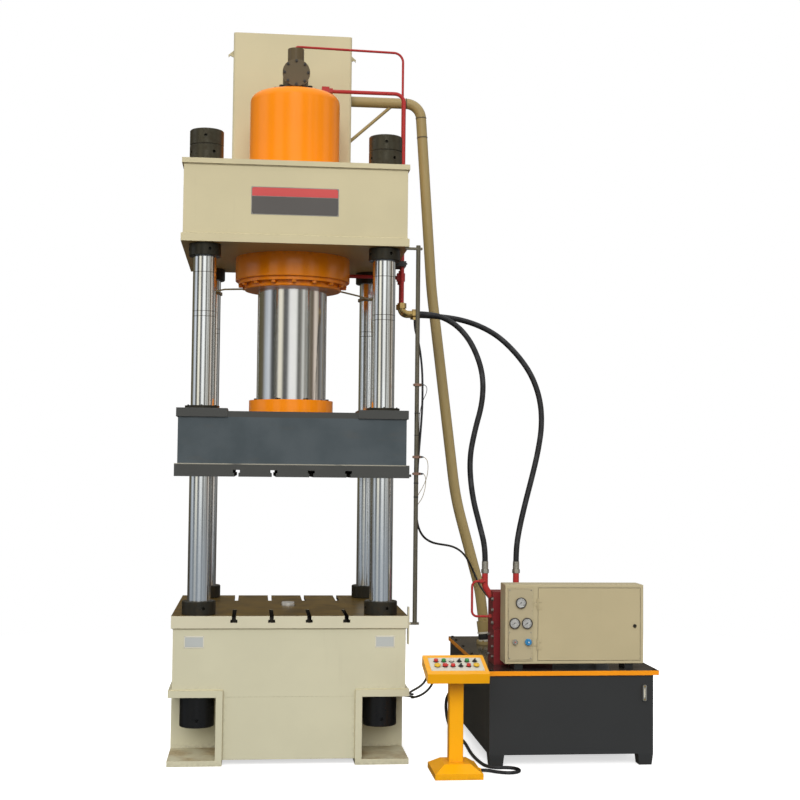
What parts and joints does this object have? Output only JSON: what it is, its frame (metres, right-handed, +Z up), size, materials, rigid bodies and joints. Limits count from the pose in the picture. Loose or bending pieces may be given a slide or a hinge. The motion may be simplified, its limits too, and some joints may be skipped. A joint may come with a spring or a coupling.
{
  "type": "hydraulic press",
  "caption": "Four-column hydraulic press with T-slotted table and slide, top cylinder and prefill tank, separate hydraulic power unit with cabinet, and operator pedestal.",
  "frame": {"origin": "middle of the whole machine's footprint, on the floor", "axes": "+Z up, +X to the operator's right from the press to its power unit, +Y to the back of the press"},
  "size_m": [2.624, 1.825, 4.214],
  "materials": {
    "cream": "satin paint",
    "table": "ground and oiled steel",
    "polished": "ground and polished",
    "black_nut": "satin black",
    "orange": "gloss paint",
    "slate": "satin paint",
    "screw": "blackened",
    "valve": "dark paint",
    "beige": "satin paint",
    "pipe_beige": "satin paint",
    "red": "gloss paint",
    "black": "satin",
    "brass": "plain",
    "steel": "plain",
    "zinc": "zinc plated",
    "charcoal": "satin paint",
    "hose": "satin",
    "cable": "satin",
    "amber": "satin paint",
    "dark_red": "gloss paint",
    "bronze": "plain",
    "motor_grey": "satin paint",
    "gauge": "polished",
    "key_red": "gloss",
    "key_green": "gloss",
    "key_white": "gloss",
    "key_black": "gloss",
    "key_yellow": "gloss",
    "key_blue": "gloss",
    "level": "plain"
  },
  "bodies": {
    "frame": {"base": "cream", "worktable": "table", "columns": "polished", "outer_nuts": "black_nut", "inner_nuts": "black_nut", "crosshead": "cream", "cylinder": "orange", "gland": "orange", "screws": "screw", "prefill_valve": "valve", "prefill_tank": "cream", "ejector_cylinder": "steel", "cylinder_pipes": "red", "pipe_clamps": "black", "hose_elbows": "brass", "hose_ferrules": "zinc", "hose_front": "hose", "hose_back": "hose", "drain_pipes": "pipe_beige", "return_pipe": "pipe_beige", "unit_pipes": "red", "switch_rod": "steel", "limit_switches": "red", "switch_cable": "cable", "oil_tank": "charcoal", "tank_lid": "charcoal", "level_gauge": "level", "motor": "motor_grey", "pump": "steel", "valve_block": "dark_red", "solenoid_valves": "black", "cabinet": "beige", "instrument_panel": "beige", "gauges": "gauge", "pedestal": "amber", "console": "amber", "console_cable_front": "cable", "console_cable_back": "cable", "floor_cable": "cable"},
    "slide": {"slide": "slate", "guide_bushes": "bronze", "ram": "polished", "ram_flange": "orange"},
    "ejector": {"ejector_rod": "polished"},
    "door": {"cabinet_door": "beige"},
    "lock": {"door_lock": "zinc"},
    "shutoff": {"shutoff_knob": "zinc"},
    "relief": {"relief_knob": "key_blue"},
    "motor_stop_button": {"motor_stop_button": "key_red"},
    "motor_start_button": {"motor_start_button": "key_green"},
    "reset_button": {"reset_button": "key_white"},
    "mode_selector": {"mode_selector": "key_black"},
    "press_button": {"press_button": "key_green"},
    "ejector_selector": {"ejector_selector": "key_black"},
    "left_start_mushroom": {"left_start_mushroom": "key_yellow"},
    "emergency_stop": {"emergency_stop": "key_red"},
    "return_button": {"return_button": "key_red"},
    "speed_selector": {"speed_selector": "key_black"},
    "slide_stop_button": {"slide_stop_button": "key_red"},
    "right_start_mushroom": {"right_start_mushroom": "key_yellow"}
  },
  "joints": [
    {"name": "slide_travel", "type": "slide", "parent": "frame", "child": "slide", "axis": [0, 0, 1], "range_m": [-0.289, 0.511]},
    {"name": "ejector_travel", "type": "slide", "parent": "frame", "child": "ejector", "axis": [0, 0, 1], "range_m": [-0.02, 0.18]},
    {"name": "door_swing", "type": "hinge", "parent": "frame", "child": "door", "pos_m": [0.655, -0.53753, 0.748], "axis": [0, 0, -1], "range_deg": [0, 110]},
    {"name": "lock_turn", "type": "hinge", "parent": "door", "child": "lock", "pos_m": [1.191, -0.53253, 0.739], "axis": [0, 1, 0], "range_deg": [0, 90]},
    {"name": "shutoff_turn", "type": "hinge", "parent": "frame", "child": "shutoff", "pos_m": [0.53, -0.53553, 0.654], "axis": [0, 1, 0], "range_deg": [0, 90]},
    {"name": "relief_turn", "type": "hinge", "parent": "frame", "child": "relief", "pos_m": [0.602, -0.53553, 0.654], "axis": [0, 1, 0], "range_deg": [-540, 540]},
    {"name": "motor_stop_button_press", "type": "slide", "parent": "frame", "child": "motor_stop_button", "axis": [0, 0.2538, -0.9673], "range_m": [0, 0.004], "stiffness_N_per_m": 500, "springref_m": -0.002},
    {"name": "motor_start_button_press", "type": "slide", "parent": "frame", "child": "motor_start_button", "axis": [0, 0.2538, -0.9673], "range_m": [0, 0.004], "stiffness_N_per_m": 500, "springref_m": -0.002},
    {"name": "reset_button_press", "type": "slide", "parent": "frame", "child": "reset_button", "axis": [0, 0.2538, -0.9673], "range_m": [0, 0.004], "stiffness_N_per_m": 500, "springref_m": -0.002},
    {"name": "mode_selector_turn", "type": "hinge", "parent": "frame", "child": "mode_selector", "pos_m": [0.19525, -0.75674, 0.58189], "axis": [0, -0.2538, 0.9673], "range_deg": [-45, 45]},
    {"name": "press_button_press", "type": "slide", "parent": "frame", "child": "press_button", "axis": [0, 0.2538, -0.9673], "range_m": [0, 0.004], "stiffness_N_per_m": 500, "springref_m": -0.002},
    {"name": "ejector_selector_turn", "type": "hinge", "parent": "frame", "child": "ejector_selector", "pos_m": [0.27625, -0.75674, 0.58189], "axis": [0, -0.2538, 0.9673], "range_deg": [-45, 45]},
    {"name": "left_start_mushroom_press", "type": "slide", "parent": "frame", "child": "left_start_mushroom", "axis": [0, 0.2538, -0.9673], "range_m": [0, 0.004], "stiffness_N_per_m": 500, "springref_m": -0.002},
    {"name": "emergency_stop_press", "type": "slide", "parent": "frame", "child": "emergency_stop", "axis": [0, 0.2538, -0.9673], "range_m": [0, 0.004]},
    {"name": "return_button_press", "type": "slide", "parent": "frame", "child": "return_button", "axis": [0, 0.2538, -0.9673], "range_m": [0, 0.004], "stiffness_N_per_m": 500, "springref_m": -0.002},
    {"name": "speed_selector_turn", "type": "hinge", "parent": "frame", "child": "speed_selector", "pos_m": [0.19525, -0.81671, 0.56616], "axis": [0, -0.2538, 0.9673], "range_deg": [-45, 45]},
    {"name": "slide_stop_button_press", "type": "slide", "parent": "frame", "child": "slide_stop_button", "axis": [0, 0.2538, -0.9673], "range_m": [0, 0.004], "stiffness_N_per_m": 500, "springref_m": -0.002},
    {"name": "right_start_mushroom_press", "type": "slide", "parent": "frame", "child": "right_start_mushroom", "axis": [0, 0.2538, -0.9673], "range_m": [0, 0.004], "stiffness_N_per_m": 500, "springref_m": -0.002}
  ]
}
